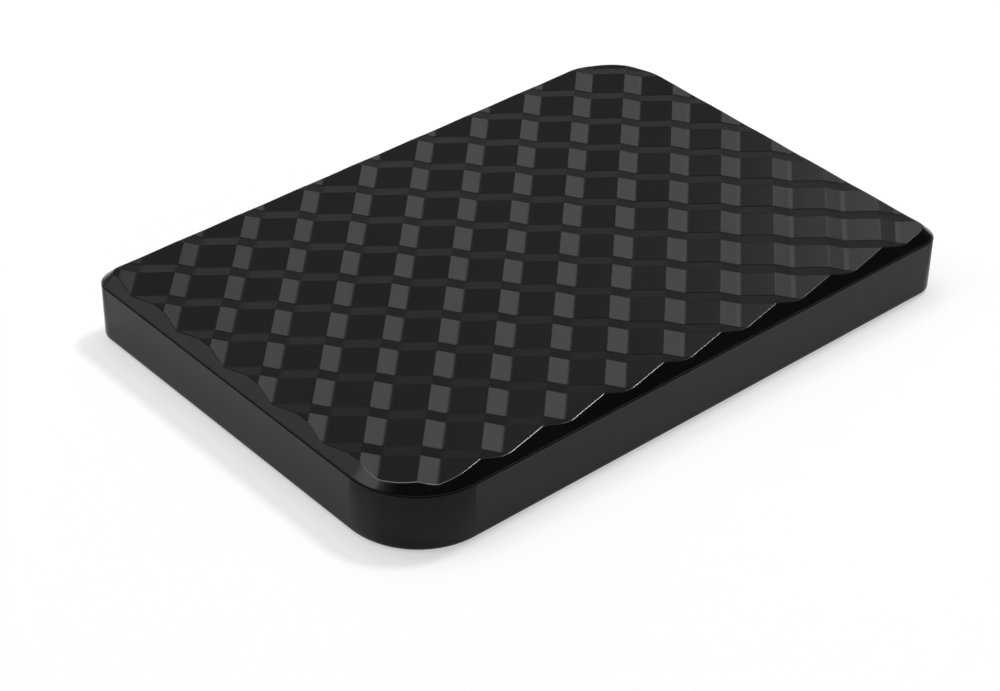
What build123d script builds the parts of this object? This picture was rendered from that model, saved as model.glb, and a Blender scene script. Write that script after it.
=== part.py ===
"""Portable external hard drive: a two-shell plastic case around a 2.5 inch drive.

Millimetres. Origin at the middle of the underside, +X along the case towards the socket end, +Z up.
The case grows from the drive that it holds, so the drive, its gaps and the walls are the driving sizes.
"""
import math
import os

from build123d import *

# How far cuts run past a face, and how far joined shapes sink into each other
overcut = 1.0
join = 0.2

# Drive body, 2.5 inch form factor: its length and height follow from what lies inside it
drive_width = 69.85
drive_corner_r = 2.5

# Case walls and the room around the drive
wall = 1.5
floor_thickness = 1.1
roof_thickness = 0.75
side_gap = 4.575
corner_clearance = 1.6
bumper_lip = 0.25
lid_gap = 0.16

# Case outline: two opposite corners are round, the other two tight
big_corner_r = 13.6
small_corner_r = 3.8
inner_corner_r = 0.5
base_edge_r = 1.0

# Lid: edge band, seam and skirt
rim_height = 2.2
band_inset = 2.34
seam_gap = 0.2
seam_inset = 0.12
skirt_thickness = 1.0
skirt_depth = 3.0
skirt_clearance = 0.1
snap_length = 14.0
snap_height = 0.8
snap_reach = 0.5
snap_clearance = 0.1
lid_drive_clearance = 0.4

# Faceted relief: two sawtooth waves along the diagonals of the lid
relief_pitch = 9.0
gentle_share = 0.67
tooth_height = 0.495
relief_anchor_x = -5.788
relief_anchor_y = -3.605

# Rubber bumpers in the side holes of the drive
side_hole_d = 2.5
side_hole_depth = 3.0
side_hole_height = 3.0
side_hole_front = 14.0
side_hole_rear = 90.6
bumper_length = 12.0
bumper_headroom = 0.15
bumper_reach = 5.0
bumper_clearance = 0.08
peg_length = 2.2
rib_thickness = 1.0
rib_height = 3.0
hold_down_d = 2.4

# Bridge board with its parts
board_thickness = 1.0
board_clearance = 0.3
board_margin = 0.6
board_past_led = 5.0
board_corner_r = 0.8
post_d = 3.0
chip_size = 6.0
chip_gap = 0.6
chip_thickness = 0.9
flash_length = 4.9
flash_width = 3.9
flash_thickness = 1.4
crystal_length = 3.2
crystal_width = 2.5
crystal_thickness = 0.7
led_length = 1.2
led_width = 1.6
led_height = 0.9
led_gap = 0.3
pipe_d = 1.8
pipe_flange_d = 3.0
pipe_flange_thickness = 0.6
pipe_clearance = 0.05

# Socket: a wide two-part micro socket with a notched shell
socket_y = 0.0
socket_width = 12.6
socket_main_width = 7.8
socket_height = 3.0
socket_notch_width = 0.7
socket_notch_depth = 0.9
socket_notch_least = 0.05
socket_depth = 5.85
socket_setback = 0.5
socket_sheet = 0.3
socket_clearance = 0.25
socket_back = 1.6
socket_gap = 3.725
tongue_thickness = 0.6
tongue_margin = 0.7
tongue_setback = 0.8

# Drive connector pair
connector_past_socket = 0.3
connector_width = 40.0
connector_depth = 7.0
plug_back = 1.6
plug_height = 4.8
blade_thickness = 1.2
blade_rise = 2.2
blade_width = 33.0
receptacle_height = 3.9
receptacle_overlap = 2.9
connector_clearance = 0.3

# Casting of the drive
casting_wall = 1.825
casting_floor = 1.2
gasket_thickness = 0.3
gasket_width = 1.1
cover_thickness = 0.7
bay_end_wall = 1.5
bay_corner_r = 4.0
cover_screw_d = 1.6
cover_screw_head_d = 3.6
cover_screw_head = 0.4
cover_screw_floor = 0.2
screw_inset = 3.1
thread_clearance = 0.05

# Discs and spindle
platter_clearance = 0.6
platter_thickness = 0.635
platter_bore_d = 20.0
spacer_seat = 2.0
hub_flange_thickness = 0.35
hub_fit = 0.03
hub_top_drop = 0.14
hub_skirt_wall = 1.5
hub_skirt_drop = 0.55
hub_web = 0.9
magnet_ring_wall = 1.0
magnet_ring_height = 1.9
air_gap = 0.25
stator_height = 1.3
stator_ring_wall = 0.7
stator_teeth = 9
tooth_width = 1.5
coil_wall = 0.35
sleeve_d = 7.0
spindle_shaft_d = 4.0
bearing_clearance = 0.04
sleeve_drop = 0.8
clamp_overhang = 0.5
clamp_thickness = 0.5
clamp_head_d = 4.6
clamp_head = 0.5
clamp_shank_d = 2.0
clamp_shank = 3.0

# Actuator
pivot_past_disc = 5.5
pivot_side = 13.0
arm_short_of_hub = 4.2
park_past_disc = 1.8
inner_track_past_spacer = 2.5
pivot_shaft_d = 3.6
pivot_sleeve_d = 8.0
pivot_boss_d = 13.0
finger_root_width = 9.0
finger_tip_width = 5.0
finger_length = 24.0
finger_hole_share = 0.6
finger_clearance = 0.25
lower_finger = 0.5
middle_finger = 0.965
upper_finger = 0.365
head_gap = 0.1
slider_length = 1.25
slider_width = 1.0
slider_thickness = 0.23
suspension_thickness = 0.12
suspension_lap = 4.0
suspension_margin = 0.15
tab_length = 3.0
tab_width = 0.6
coil_offset_deg = 12.0
coil_half_angle = 20.0
coil_past_boss = 2.1
coil_depth = 7.9
coil_end_gap = 2.425
coil_side = 2.2
coil_thickness = 1.5
coil_frame = 1.0
coil_frame_share = 0.85

# Voice coil magnets
yoke_thickness = 0.7
yoke_cover_gap = 0.15
magnet_coil_gap = 0.2
yoke_start_deg = 280.0
yoke_end_deg = 352.0
yoke_past_boss = 1.1
yoke_past_post = 0.9
yoke_wall_clearance = 0.3
yoke_post_gap = 1.1
yoke_post_d = 2.0
yoke_post_span_deg = 16.0
magnet_past_yoke = 1.4
magnet_short_of_coil = 0.1
magnet_margin_deg = 6.0

# Ramp, stops and filters
ramp_clearance = 0.35
ramp_slide_gap = 0.08
ramp_slider_gap = 0.4
ramp_past_tab = 2.6
ramp_before_deg = 7.0
ramp_after_deg = 7.0
ramp_post_r = 1.8
stop_d = 2.0
stop_past_coil = 2.4
stop_gap = 0.15
filter_length = 11.0
filter_width = 8.0
filter_height = 3.2
pillow_length = 7.0
pillow_width = 3.0
pillow_corner_r = 1.35

# Controller board under the casting
pcb_thickness = 0.8
pcb_lift = 0.3
pcb_length = 50.0
pcb_edge_gap = 0.5
pcb_side_gap = 2.2
pcb_corner_r = 1.0
pcb_chip_thickness = 0.8
controller_size = 10.0
memory_length = 9.0
memory_width = 6.0
driver_size = 7.0
boss_d = 5.0
boss_inset = 5.0
board_screw_d = 1.6
board_screw_head_d = 3.4
board_screw_length = 2.2
board_screw_recess = 0.18
hole_clearance = 0.15
insulator_thickness = 0.3

# Heights inside the drive, from its underside up
casting_floor_z = pcb_lift + pcb_thickness + pcb_chip_thickness + insulator_thickness
cavity_floor_z = casting_floor_z + casting_floor
head_reach = head_gap + slider_thickness + suspension_thickness
lower_platter_z = cavity_floor_z + finger_clearance + lower_finger + head_reach
lower_platter_top_z = lower_platter_z + platter_thickness
upper_platter_z = lower_platter_top_z + 2 * head_reach + middle_finger
upper_platter_top_z = upper_platter_z + platter_thickness
cover_under_z = upper_platter_top_z + head_reach + upper_finger + finger_clearance
casting_top_z = cover_under_z - gasket_thickness
drive_height = cover_under_z + cover_thickness
notch_top_z = pcb_lift + pcb_thickness + plug_height + connector_clearance
cover_screw_length = casting_top_z - notch_top_z - cover_screw_floor

# Plan sizes inside the drive
disc_r = drive_width / 2 - casting_wall - platter_clearance
well_r = disc_r + platter_clearance
spacer_d = platter_bore_d + 2 * spacer_seat
clamp_d = spacer_d + 2 * clamp_overhang
coil_inner_r = pivot_boss_d / 2 + coil_past_boss
coil_outer_r = coil_inner_r + coil_depth
coil_bay = coil_outer_r + coil_end_gap
post_ring_r = coil_outer_r + yoke_post_gap + yoke_post_d / 2
yoke_inner_r = pivot_boss_d / 2 + yoke_past_boss
yoke_outer_r = post_ring_r + yoke_post_d / 2 + yoke_past_post
magnet_inner_r = yoke_inner_r + magnet_past_yoke
magnet_outer_r = coil_outer_r - magnet_short_of_coil
stop_ring_r = coil_inner_r + stop_past_coil
disc_room = casting_wall + well_r + disc_r + pivot_past_disc
drive_length = disc_room + coil_bay + bay_end_wall + connector_depth

# Case sizes around the drive
corner_room = big_corner_r - wall - drive_corner_r
corner_reach = math.sqrt((corner_room - corner_clearance) ** 2 - (corner_room - side_gap) ** 2)
end_gap = corner_room - corner_reach
socket_room = socket_depth - (wall - socket_setback)
board_bay = connector_clearance + receptacle_overlap + socket_gap + socket_room
case_length = drive_length + end_gap + board_bay + 2 * wall
case_width = drive_width + 2 * side_gap + 2 * wall
drive_z = floor_thickness + bumper_lip
lid_under_z = drive_z + drive_height + lid_gap
valley_z = lid_under_z + roof_thickness
case_height = valley_z + 2 * tooth_height
parting_z = case_height - rim_height
skirt_foot_z = parting_z - skirt_depth
bumper_top_z = skirt_foot_z - bumper_headroom

# Places along the case
inner_x = case_length / 2 - wall
drive_x0 = -inner_x + end_gap
drive_x1 = drive_x0 + drive_length
hub_x = drive_x0 + casting_wall + well_r
bay_x1 = drive_x1 - connector_depth - bay_end_wall
bay_half_y = drive_width / 2 - casting_wall
pivot_x = hub_x + disc_r + pivot_past_disc
pivot_y = -pivot_side
pivot_distance = math.hypot(pivot_x - hub_x, pivot_y)
arm_radius = pivot_distance - arm_short_of_hub
toward_hub_deg = math.degrees(math.atan2(-pivot_y, hub_x - pivot_x))
connector_y1 = socket_y + socket_width / 2 + connector_past_socket
connector_y0 = connector_y1 - connector_width
connector_y = (connector_y0 + connector_y1) / 2
bridge_chip_y = socket_y + socket_width / 2 + chip_gap + chip_size / 2
pipe_y = bridge_chip_y + chip_size / 2 + led_gap + led_width / 2
board_min_y = connector_y0 - board_margin
board_max_y = pipe_y + board_past_led
pcb_x1 = drive_x1 - pcb_edge_gap
pcb_x0 = pcb_x1 - pcb_length
pcb_half_y = drive_width / 2 - pcb_side_gap
pcb_z0 = drive_z + pcb_lift
pcb_z1 = pcb_z0 + pcb_thickness


def swing_from_hub(track_r):
    """Angle at the pivot between the hub and a head that stands track_r from the hub, in degrees."""
    share = pivot_distance**2 + arm_radius**2 - track_r**2
    return math.degrees(math.acos(share / (2 * pivot_distance * arm_radius)))


park_deg = toward_hub_deg - swing_from_hub(disc_r + park_past_disc)
inner_track_deg = toward_hub_deg - swing_from_hub(spacer_d / 2 + inner_track_past_spacer)
swing_range_deg = inner_track_deg - park_deg


def slab(x0, x1, y0, y1, z0, z1):
    """Box between two corners."""
    middle = ((x0 + x1) / 2, (y0 + y1) / 2, (z0 + z1) / 2)
    return Pos(*middle) * Box(x1 - x0, y1 - y0, z1 - z0)


def rod(x, y, z0, z1, diameter):
    """Upright cylinder between two heights."""
    return Pos(x, y, (z0 + z1) / 2) * Cylinder(diameter / 2, z1 - z0)


def ring(x, y, z0, z1, outer_d, inner_d):
    """Upright tube between two heights."""
    return rod(x, y, z0, z1, outer_d) - rod(x, y, z0 - overcut, z1 + overcut, inner_d)


def raise_face(face, z0, z1):
    """Straight wall over a flat outline, from z0 to z1."""
    return extrude(Pos(0, 0, z0) * face, z1 - z0)


def polar(radius, angle_deg, centre=(0.0, 0.0)):
    """Point at a radius and angle about a centre."""
    angle = math.radians(angle_deg)
    return centre[0] + radius * math.cos(angle), centre[1] + radius * math.sin(angle)


def sector(inner_r, outer_r, start_deg, end_deg, centre):
    """Flat annular sector."""
    middle_deg = (start_deg + end_deg) / 2
    outer = ThreePointArc(
        polar(outer_r, start_deg), polar(outer_r, middle_deg), polar(outer_r, end_deg)
    )
    inner = ThreePointArc(
        polar(inner_r, end_deg), polar(inner_r, middle_deg), polar(inner_r, start_deg)
    )
    sides = Line(outer @ 1, inner @ 0) + Line(inner @ 1, outer @ 0)
    return Pos(centre[0], centre[1]) * make_face(outer + inner + sides)


def rounded_plate(x0, x1, y0, y1, corner_r):
    """Flat rectangle between two corners with round corners."""
    return Pos((x0 + x1) / 2, (y0 + y1) / 2) * RectangleRounded(x1 - x0, y1 - y0, corner_r)


def case_outline(inset):
    """Plan outline of the case, moved inwards by inset."""
    half_x = case_length / 2 - inset
    half_y = case_width / 2 - inset
    big_r = big_corner_r - inset
    small_r = max(small_corner_r - inset, inner_corner_r)
    plate = Rectangle(2 * half_x, 2 * half_y)
    plate = fillet([v for v in plate.vertices() if v.X * v.Y > 0], big_r)
    return fillet([v for v in plate.vertices() if v.X * v.Y < 0], small_r)


def wave(first_valley, rise, fall, reach):
    """Corners of a sawtooth from -reach to +reach: rises over one length, falls over the next."""
    period = rise + fall
    start = first_valley - period * math.ceil((first_valley + reach) / period)
    corners = []
    while start < reach:
        corners.append((start, 0.0))
        corners.append((start + rise, tooth_height))
        start += period
    corners.append((start, 0.0))
    return corners


def relief():
    """Block with the faceted top: one sawtooth section carried along the slopes of the other."""
    diagonal = math.sqrt(2)
    reach = (case_length + case_width) / 2 / diagonal
    gentle = gentle_share * relief_pitch
    steep = relief_pitch - gentle
    anchor_u = (relief_anchor_x + relief_anchor_y) / diagonal
    anchor_v = (relief_anchor_y - relief_anchor_x) / diagonal
    section = wave(anchor_u - gentle / 2, gentle, steep, reach)
    path = wave(anchor_v - steep / 2, steep, gentle, reach)

    def place(u, v, z):
        return Vector((u - v) / diagonal, (u + v) / diagonal, z)

    block = None
    for (v0, rise0), (v1, rise1) in zip(path, path[1:]):
        top = [place(u, v0, valley_z + height + rise0) for u, height in section]
        base = [place(section[-1][0], v0, rise0), place(section[0][0], v0, rise0)]
        face = Face(Wire.make_polygon(top + base))
        slope = place(0, v1 - v0, rise1 - rise0)
        bar = Solid.extrude(face, slope)
        block = bar if block is None else block.fuse(bar)
    return block


def snap_places():
    """Middles and directions of the snap ridges along the four straight walls."""
    half_x = case_length / 2 - wall
    half_y = case_width / 2 - wall
    along_x = case_length / 4
    return [
        (-along_x, -half_y, 0.0),
        (along_x, -half_y, 0.0),
        (-along_x, half_y, 180.0),
        (along_x, half_y, 180.0),
        (-half_x, 0.0, 270.0),
    ]


def snap_bar(x, y, turn, grow):
    """Half-round ridge on a wall face, grown by a clearance for its groove."""
    radius = snap_height / 2 + grow
    reach = min(snap_reach + grow, radius + grow)
    bar = Cylinder(radius, snap_length + 2 * grow, rotation=(0, 90, 0))
    keep = Pos(0, -reach / 2, 0) * Box(snap_length + 3 * radius, reach, 3 * radius)
    z = parting_z - skirt_depth / 2
    return Pos(x, y, z) * Rot(0, 0, turn) * (bar & keep)


def socket_profile(grow):
    """Outline of the two-part socket in the YZ plane, grown by a clearance."""
    left = -socket_width / 2 - grow
    right = socket_width / 2 + grow
    low = -socket_height / 2 - grow
    high = socket_height / 2 + grow
    notch_at = -socket_width / 2 + socket_main_width
    notch_low = -socket_height / 2 + socket_notch_depth - grow
    half_notch = max(socket_notch_width / 2 - grow, socket_notch_least)
    points = [
        (left, high),
        (right, high),
        (right, low),
        (notch_at + half_notch, low),
        (notch_at + half_notch, notch_low),
        (notch_at - half_notch, notch_low),
        (notch_at - half_notch, low),
        (left, low),
    ]
    return make_face(Polyline(*points, close=True))


socket_x1 = case_length / 2 - socket_setback
socket_z = drive_z + board_thickness + socket_height / 2


def socket_block(x0, x1, grow):
    """Prism of the socket outline between two places along X."""
    plane = Plane(origin=(x0, socket_y, socket_z), x_dir=(0, 1, 0), z_dir=(1, 0, 0))
    return extrude(plane * socket_profile(grow), x1 - x0)


def bumper_centres():
    """Places of the side holes: along X, and the side they face."""
    return [
        (drive_x1 - back, side)
        for back in (side_hole_front, side_hole_rear)
        for side in (-1, 1)
    ]


def drive_block(grow, z0, z1):
    """Outer block of the drive, grown sideways by a clearance."""
    plate = rounded_plate(
        drive_x0 - grow,
        drive_x1 + grow,
        -drive_width / 2 - grow,
        drive_width / 2 + grow,
        drive_corner_r + grow,
    )
    return raise_face(plate, z0, z1)


def make_bottom_tray():
    """Tray with walls up to the seam, ribs beside the bumpers, posts for the board and end openings."""
    tray = raise_face(case_outline(0), 0, parting_z)
    tray = fillet(tray.faces().sort_by(Axis.Z)[0].edges(), base_edge_r)
    tray -= raise_face(case_outline(wall), floor_thickness, parting_z + overcut)
    room = raise_face(case_outline(wall), floor_thickness - join, parting_z)
    for x, side in bumper_centres():
        near = side * (drive_width / 2 + bumper_clearance)
        far = side * (case_width / 2)
        for end in (-1, 1):
            edge = x + end * (bumper_length / 2 + bumper_clearance)
            limits = sorted((edge, edge + end * rib_thickness))
            rib = slab(*limits, *sorted((near, far)), floor_thickness - join, floor_thickness + rib_height)
            tray += rib & room
    for y in (board_min_y + post_d, board_max_y - post_d):
        tray += rod(bridge_middle_x, y, floor_thickness - join, drive_z, post_d)
    for x, y, turn in snap_places():
        tray -= snap_bar(x, y, turn, snap_clearance)
    tray -= socket_block(inner_x - overcut, case_length / 2 + overcut, socket_clearance)
    hole = Cylinder(pipe_d / 2 + pipe_clearance, wall + 2, rotation=(0, 90, 0))
    tray -= Pos(case_length / 2 - wall / 2, pipe_y, socket_z) * hole
    return tray


def make_top_cover():
    """Lid: faceted top cut by the sloping edge band, with a skirt inside the straight tray walls."""
    seam_z = parting_z + seam_gap
    band_rise = case_height - seam_z
    lean_deg = math.degrees(math.atan2(band_inset - seam_inset, band_rise))
    body = extrude(Pos(0, 0, seam_z) * case_outline(seam_inset), band_rise, taper=lean_deg)
    lid = body & relief()
    skirt_outer = wall + skirt_clearance
    skirt_inner = skirt_outer + skirt_thickness
    lid -= raise_face(case_outline(skirt_inner), seam_z - overcut, lid_under_z)
    lid -= drive_block(lid_drive_clearance, 0, lid_under_z)
    skirt = raise_face(case_outline(skirt_outer), skirt_foot_z, lid_under_z)
    skirt -= raise_face(case_outline(skirt_inner), skirt_foot_z - overcut, lid_under_z + overcut)
    corner_x = case_length / 2 - big_corner_r
    corner_y = case_width / 2 - big_corner_r
    for side in (-1, 1):
        along_x = sorted((side * corner_x, side * case_length))
        along_y = sorted((side * corner_y, side * case_width))
        skirt -= slab(*along_x, *along_y, 0, case_height)
    lid += skirt
    for x, y, turn in snap_places():
        inward = Pos(x, y) * Rot(0, 0, turn) * Pos(0, skirt_clearance)
        z = parting_z - skirt_depth / 2
        ridge = Cylinder(snap_height / 2, snap_length, rotation=(0, 90, 0))
        lid += Pos(0, 0, z) * inward * ridge
    for x, side in bumper_centres():
        y = side * (drive_width / 2 + lid_drive_clearance + hold_down_d / 2)
        foot_z = bumper_top_z + bumper_clearance
        lid += rod(x, y, foot_z, lid_under_z + roof_thickness / 2, hold_down_d)
    return lid


def make_drive_bumpers():
    """Four rubber blocks: each wraps a lip under the drive and plugs a side hole with a peg."""
    room = raise_face(case_outline(wall + bumper_clearance), 0, case_height)
    blocks = []
    for x, side in bumper_centres():
        face_y = drive_width / 2 + bumper_clearance
        ends = (x - bumper_length / 2, x + bumper_length / 2)
        outward = sorted((side * face_y, side * case_width))
        block = slab(*ends, *outward, floor_thickness, bumper_top_z)
        inside_y = drive_width / 2 - bumper_reach
        block += slab(*ends, *sorted((side * inside_y, side * (face_y + join))), floor_thickness, drive_z)
        peg_d = side_hole_d - 2 * bumper_clearance
        peg = Cylinder(peg_d / 2, peg_length + join, rotation=(90, 0, 0))
        peg_y = side * (face_y + join / 2 - peg_length / 2)
        block += Pos(x, peg_y, drive_z + side_hole_height) * peg
        blocks.append(block & room)
    return blocks


bridge_x0 = drive_x1 + board_clearance
bridge_x1 = inner_x - board_clearance
bridge_middle_x = (bridge_x0 + bridge_x1) / 2
bridge_top_z = drive_z + board_thickness


def make_bridge_board():
    """Circuit board across the socket end of the case."""
    plate = rounded_plate(bridge_x0, bridge_x1, board_min_y, board_max_y, board_corner_r)
    return raise_face(plate, drive_z, bridge_top_z)


def bridge_part(x, y, length, width, height):
    """Block standing on the bridge board."""
    return slab(
        x - length / 2, x + length / 2, y - width / 2, y + width / 2, bridge_top_z, bridge_top_z + height
    )


receptacle_x1 = drive_x1 + connector_clearance + receptacle_overlap
free_x0 = receptacle_x1 + connector_clearance


def make_bridge_chip():
    """Bridge controller beside the drive connector."""
    x = bridge_x0 + board_clearance + chip_size / 2
    return bridge_part(x, bridge_chip_y, chip_size, chip_size, chip_thickness)


def make_flash_chip():
    """Small memory between the connector and the end wall."""
    y = socket_y - socket_width / 2 - flash_length
    return bridge_part(free_x0 + flash_width / 2, y, flash_width, flash_length, flash_thickness)


def make_crystal_can():
    """Metal can of the clock crystal."""
    y = socket_y - socket_width / 2 - 2 * flash_length - crystal_length
    return bridge_part(free_x0 + crystal_width / 2, y, crystal_width, crystal_length, crystal_thickness)


def make_status_led():
    """Indicator on the board behind the light pipe."""
    return bridge_part(bridge_middle_x, pipe_y, led_length, led_width, led_height)


def make_light_pipe():
    """Clear rod through the end wall with a flange against its inside."""
    end_x = case_length / 2 - pipe_clearance
    start_x = bridge_middle_x + led_length / 2 + bumper_clearance
    flange_x1 = inner_x - bumper_clearance
    shank = Pos((start_x + end_x) / 2, pipe_y, socket_z) * Cylinder(
        pipe_d / 2, end_x - start_x, rotation=(0, 90, 0)
    )
    flange = Pos(flange_x1 - pipe_flange_thickness / 2, pipe_y, socket_z) * Cylinder(
        pipe_flange_d / 2, pipe_flange_thickness, rotation=(0, 90, 0)
    )
    return shank + flange


def make_usb_shell():
    """Folded steel shell of the socket, open towards the end wall."""
    shell_x0 = socket_x1 - socket_depth
    shell = socket_block(shell_x0, socket_x1, 0)
    return shell - socket_block(shell_x0 - overcut, socket_x1 + overcut, -socket_sheet)


def make_usb_insert():
    """Plastic core of the socket: a back wall with one tongue in each bay."""
    back_x0 = socket_x1 - socket_depth
    fit = socket_sheet + thread_clearance
    core = socket_block(back_x0, back_x0 + socket_back, -fit)
    split = socket_y - socket_width / 2 + socket_main_width
    main = (socket_y - socket_width / 2 + tongue_margin, split - tongue_margin)
    side = (split + tongue_margin, socket_y + socket_width / 2 - tongue_margin)
    for y0, y1 in (main, side):
        core += slab(
            back_x0 + socket_back / 2,
            socket_x1 - tongue_setback,
            y0,
            y1,
            socket_z,
            socket_z + tongue_thickness,
        )
    return core


blade_z = pcb_z1 + blade_rise


def make_sata_plug():
    """Drive connector: a back wall with a flat blade, on the edge of the controller board."""
    back_x0 = drive_x1 - connector_depth + connector_clearance
    plug = slab(back_x0, back_x0 + plug_back, connector_y0, connector_y1, pcb_z1, pcb_z1 + plug_height)
    plug += slab(
        back_x0,
        drive_x1 - pcb_edge_gap,
        connector_y - blade_width / 2,
        connector_y + blade_width / 2,
        blade_z - blade_thickness / 2,
        blade_z + blade_thickness / 2,
    )
    return plug


def make_sata_receptacle():
    """Board connector that slides over the blade of the drive."""
    front_x0 = drive_x1 - connector_depth + 2 * connector_clearance + plug_back
    half = connector_width / 2 - connector_clearance
    top_z = bridge_top_z + receptacle_height
    body = slab(front_x0, receptacle_x1, connector_y - half, connector_y + half, bridge_top_z, top_z)
    body -= slab(
        front_x0 - overcut,
        drive_x1,
        connector_y - blade_width / 2 - connector_clearance,
        connector_y + blade_width / 2 + connector_clearance,
        blade_z - blade_thickness / 2 - connector_clearance,
        blade_z + blade_thickness / 2 + connector_clearance,
    )
    body -= slab(
        front_x0 - overcut,
        drive_x1 + connector_clearance,
        connector_y0,
        connector_y1,
        bridge_top_z - overcut,
        pcb_z1 + connector_clearance,
    )
    return body


def cover_screw_places():
    """Screw places around the rim of the casting."""
    rear_x = drive_x0 + screw_inset
    front_x = bay_x1 + bay_end_wall + screw_inset / 2
    side_y = drive_width / 2 - screw_inset
    return [(rear_x, -side_y), (rear_x, side_y), (front_x, -side_y), (front_x, side_y)]


def cavity_plate(grow):
    """Plan of the drive's inner room: the disc well joined to the actuator bay, grown outwards."""
    well = Pos(hub_x, 0) * Circle(well_r + grow)
    bay = rounded_plate(
        hub_x, bay_x1 + grow, -bay_half_y - grow, bay_half_y + grow, bay_corner_r + grow
    )
    return well + bay


def board_screw_places():
    """Screw places of the controller board."""
    x0 = pcb_x0 + boss_inset
    x1 = bay_x1 - boss_inset
    y = pcb_half_y - boss_inset
    return [(x0, -y), (x0, y), (x1, -y), (x1, y)]


def make_base_casting():
    """Aluminium base: disc well, actuator bay, connector notch, board recess and bosses."""
    casting = drive_block(0, drive_z, drive_z + casting_top_z)
    casting -= raise_face(cavity_plate(0), drive_z + cavity_floor_z, drive_z + drive_height)
    recess_y = pcb_half_y + connector_clearance
    casting -= slab(
        pcb_x0 - connector_clearance,
        drive_x1 + overcut,
        -recess_y,
        recess_y,
        drive_z - overcut,
        drive_z + casting_floor_z,
    )
    casting -= slab(
        drive_x1 - connector_depth,
        drive_x1 + overcut,
        connector_y0 - connector_clearance,
        connector_y1 + connector_clearance,
        drive_z - overcut,
        drive_z + notch_top_z,
    )
    for x, y in board_screw_places():
        casting += rod(x, y, pcb_z1, drive_z + casting_floor_z + join, boss_d)
        hole_d = board_screw_d + 2 * thread_clearance
        casting -= rod(x, y, pcb_z1 - overcut, pcb_z1 + board_screw_length, hole_d)
    for x, y in cover_screw_places():
        top_z = drive_z + casting_top_z
        hole_d = cover_screw_d + 2 * thread_clearance
        casting -= rod(x, y, top_z - cover_screw_length, top_z + overcut, hole_d)
    for x, side in bumper_centres():
        hole = Cylinder(side_hole_d / 2, 2 * side_hole_depth, rotation=(90, 0, 0))
        casting -= Pos(x, side * drive_width / 2, drive_z + side_hole_height) * hole
    floor_top_z = drive_z + cavity_floor_z + overcut
    casting -= rod(hub_x, 0, drive_z - overcut, floor_top_z, sleeve_d + 2 * hub_fit)
    casting -= rod(pivot_x, pivot_y, drive_z - overcut, floor_top_z, pivot_shaft_d + 2 * hub_fit)
    return casting


def make_cover_gasket():
    """Rubber bead around the inner room, on top of the casting."""
    z0 = drive_z + casting_top_z
    bead = cavity_plate(gasket_width + thread_clearance)
    bead -= cavity_plate(thread_clearance)
    return raise_face(bead, z0, z0 + gasket_thickness)


def make_drive_cover():
    """Steel lid of the drive with sunk screw seats and a raised field over the disc."""
    z0 = drive_z + cover_under_z
    cover = drive_block(0, z0, z0 + cover_thickness)
    step = cover_screw_head / 2
    cover -= raise_face(cavity_plate(-casting_wall), z0 - overcut, z0 + step)
    for x, y in cover_screw_places():
        head_z = z0 + cover_thickness - cover_screw_head
        cover -= rod(x, y, head_z, z0 + drive_height, cover_screw_head_d + 2 * hole_clearance)
        cover -= rod(x, y, z0 - overcut, head_z + overcut, cover_screw_d + 2 * hole_clearance)
    return cover


def make_cover_screws():
    """Four flat-headed screws with a six-lobed recess."""
    screws = []
    top_z = drive_z + drive_height
    for x, y in cover_screw_places():
        head_z = top_z - cover_screw_head
        screw = rod(x, y, head_z, top_z, cover_screw_head_d)
        tip_z = drive_z + casting_top_z - cover_screw_length + thread_clearance
        screw += rod(x, y, tip_z, head_z + cover_screw_head / 2, cover_screw_d)
        recess = Pos(x, y) * RegularPolygon(cover_screw_d / 2, 6)
        screw -= raise_face(recess, top_z - cover_screw_head / 2, top_z + overcut)
        screws.append(screw)
    return screws


hub_bore_d = platter_bore_d - 2 * hub_fit
hub_top_z = upper_platter_top_z - hub_top_drop
hub_room_d = hub_bore_d - 2 * hub_skirt_wall
hub_room_top_z = hub_top_z - hub_web
stator_d = hub_room_d - 2 * magnet_ring_wall - 2 * air_gap
hub_foot_z = lower_platter_z - hub_skirt_drop


def make_spindle_sleeve():
    """Fixed bearing sleeve pressed into the casting."""
    z0 = drive_z + casting_floor_z
    z1 = drive_z + hub_room_top_z - sleeve_drop
    return ring(hub_x, 0, z0, z1, sleeve_d, spindle_shaft_d + 2 * bearing_clearance)


def make_spindle_hub():
    """Hub and shaft in one turned piece: flange under the lower disc, hollow for the motor."""
    hub = rod(hub_x, 0, drive_z + hub_foot_z, drive_z + hub_top_z, hub_bore_d)
    flange_z0 = drive_z + lower_platter_z - hub_flange_thickness
    hub += rod(hub_x, 0, flange_z0, drive_z + lower_platter_z, spacer_d)
    hub -= rod(hub_x, 0, drive_z, drive_z + hub_room_top_z, hub_room_d)
    shaft_z0 = drive_z + casting_floor_z + air_gap
    hub += rod(hub_x, 0, shaft_z0, drive_z + hub_room_top_z + hub_web / 2, spindle_shaft_d)
    hole_d = clamp_shank_d + 2 * thread_clearance
    hub -= rod(hub_x, 0, drive_z + hub_top_z - clamp_shank, drive_z + drive_height, hole_d)
    return hub


def make_rotor_magnet():
    """Magnet ring glued inside the hub."""
    z1 = drive_z + hub_room_top_z
    fit_d = hub_room_d - 2 * hub_fit
    return ring(hub_x, 0, z1 - magnet_ring_height, z1, fit_d, fit_d - 2 * magnet_ring_wall)


stator_z1 = drive_z + hub_room_top_z - air_gap - coil_wall
stator_z0 = stator_z1 - stator_height
stator_root_d = sleeve_d + 2 * coil_wall + 2 * stator_ring_wall


def tooth_bar(inner_r, outer_r, width, z0, z1, index):
    """Radial bar of the stator at one tooth place."""
    bar = slab(inner_r, outer_r, -width / 2, width / 2, z0, z1)
    return Pos(hub_x, 0) * Rot(0, 0, 360 / stator_teeth * index) * bar


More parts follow.
